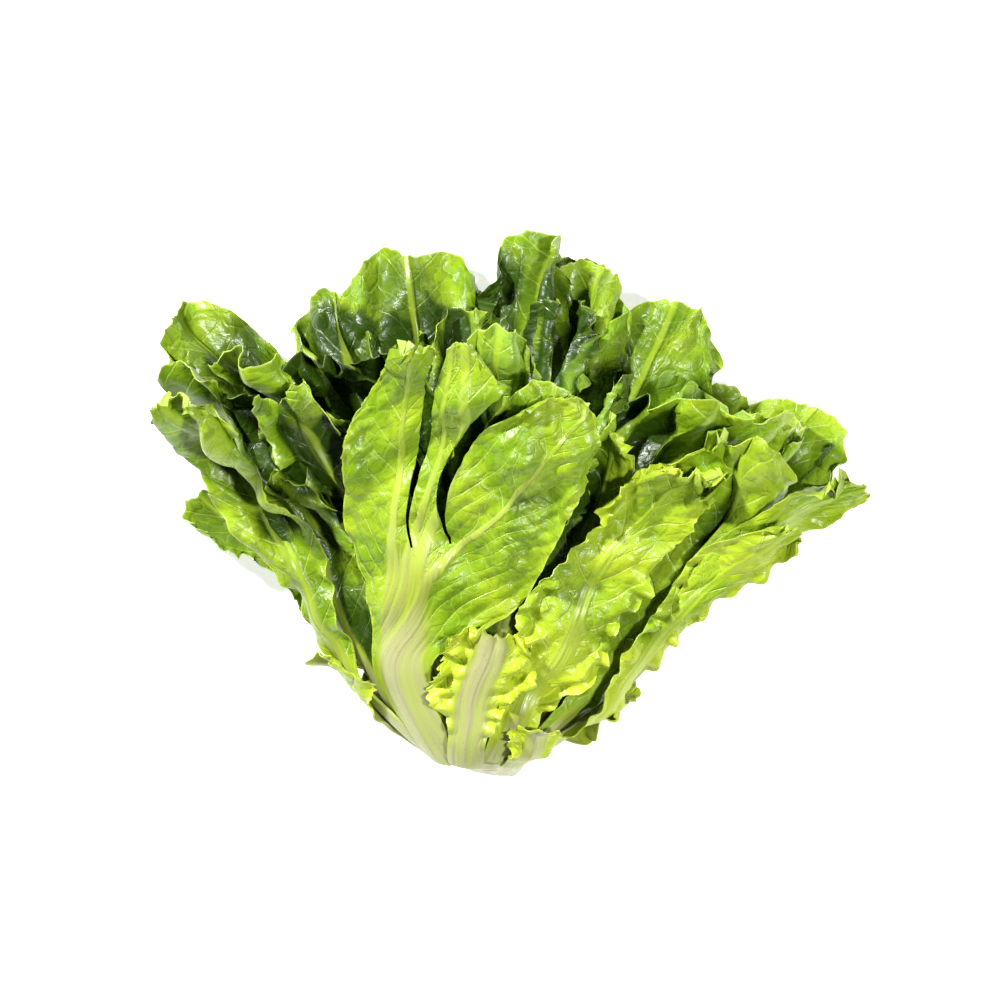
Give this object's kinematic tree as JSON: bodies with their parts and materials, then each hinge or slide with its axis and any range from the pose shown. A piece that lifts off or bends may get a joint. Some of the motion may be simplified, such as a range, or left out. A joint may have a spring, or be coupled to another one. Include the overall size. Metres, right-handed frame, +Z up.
{
  "type": "escarole head",
  "caption": "Head of escarole lying on its side, broad wavy leaves fanning from a short cut stem.",
  "frame": {"origin": "centre of the bounding box at the surface that the head lies on", "axes": "+Z up, +Y towards the leaf tips, +X to the right seen from above with the tips away"},
  "size_m": [0.2966, 0.2368, 0.1267],
  "materials": {
    "stem": "moist pale cut flesh",
    "heart": "waxy yellow green leaf",
    "leaf_01": "waxy green leaf, slightly glossy",
    "leaf_02": "waxy green leaf, slightly glossy",
    "leaf_03": "waxy green leaf, slightly glossy",
    "leaf_04": "waxy green leaf, slightly glossy",
    "leaf_05": "waxy green leaf, slightly glossy",
    "leaf_06": "waxy green leaf, slightly glossy",
    "leaf_07": "waxy green leaf, slightly glossy",
    "leaf_08": "waxy green leaf, slightly glossy",
    "leaf_09": "waxy green leaf, slightly glossy",
    "leaf_10": "waxy green leaf, slightly glossy",
    "leaf_11": "waxy green leaf, slightly glossy",
    "leaf_12": "waxy green leaf, slightly glossy",
    "leaf_13": "waxy green leaf, slightly glossy",
    "leaf_14": "waxy green leaf, slightly glossy",
    "leaf_15": "waxy green leaf, slightly glossy",
    "leaf_16": "waxy green leaf, slightly glossy",
    "leaf_17": "waxy green leaf, slightly glossy",
    "leaf_18": "waxy green leaf, slightly glossy",
    "leaf_19": "waxy green leaf, slightly glossy",
    "leaf_20": "waxy green leaf, slightly glossy",
    "leaf_21": "waxy green leaf, slightly glossy",
    "leaf_22": "waxy green leaf, slightly glossy",
    "leaf_23": "waxy green leaf, slightly glossy",
    "leaf_24": "waxy green leaf, slightly glossy",
    "leaf_25": "waxy green leaf, slightly glossy",
    "leaf_26": "waxy green leaf, slightly glossy",
    "leaf_27": "waxy green leaf, slightly glossy",
    "leaf_28": "waxy green leaf, slightly glossy",
    "leaf_29": "waxy green leaf, slightly glossy",
    "leaf_30": "waxy green leaf, slightly glossy",
    "leaf_31": "waxy green leaf, slightly glossy",
    "leaf_32": "waxy green leaf, slightly glossy",
    "leaf_33": "waxy green leaf, slightly glossy",
    "leaf_34": "waxy green leaf, slightly glossy",
    "leaf_35": "waxy green leaf, slightly glossy",
    "leaf_36": "waxy green leaf, slightly glossy",
    "leaf_37": "waxy green leaf, slightly glossy",
    "leaf_38": "waxy green leaf, slightly glossy",
    "leaf_39": "waxy green leaf, slightly glossy",
    "leaf_40": "waxy green leaf, slightly glossy",
    "leaf_41": "waxy green leaf, slightly glossy",
    "leaf_42": "waxy green leaf, slightly glossy"
  },
  "bodies": {
    "root": {"stem": "stem", "heart": "heart", "leaf_01": "leaf_01", "leaf_02": "leaf_02", "leaf_03": "leaf_03", "leaf_04": "leaf_04", "leaf_05": "leaf_05", "leaf_06": "leaf_06", "leaf_07": "leaf_07", "leaf_08": "leaf_08", "leaf_09": "leaf_09", "leaf_10": "leaf_10", "leaf_11": "leaf_11", "leaf_12": "leaf_12", "leaf_13": "leaf_13", "leaf_14": "leaf_14", "leaf_15": "leaf_15", "leaf_16": "leaf_16", "leaf_17": "leaf_17", "leaf_18": "leaf_18", "leaf_19": "leaf_19", "leaf_20": "leaf_20", "leaf_21": "leaf_21", "leaf_22": "leaf_22", "leaf_23": "leaf_23", "leaf_24": "leaf_24", "leaf_25": "leaf_25", "leaf_26": "leaf_26", "leaf_27": "leaf_27", "leaf_28": "leaf_28", "leaf_29": "leaf_29", "leaf_30": "leaf_30", "leaf_31": "leaf_31", "leaf_32": "leaf_32", "leaf_33": "leaf_33", "leaf_34": "leaf_34", "leaf_35": "leaf_35", "leaf_36": "leaf_36", "leaf_37": "leaf_37", "leaf_38": "leaf_38", "leaf_39": "leaf_39", "leaf_40": "leaf_40", "leaf_41": "leaf_41", "leaf_42": "leaf_42"}
  },
  "joints": []
}
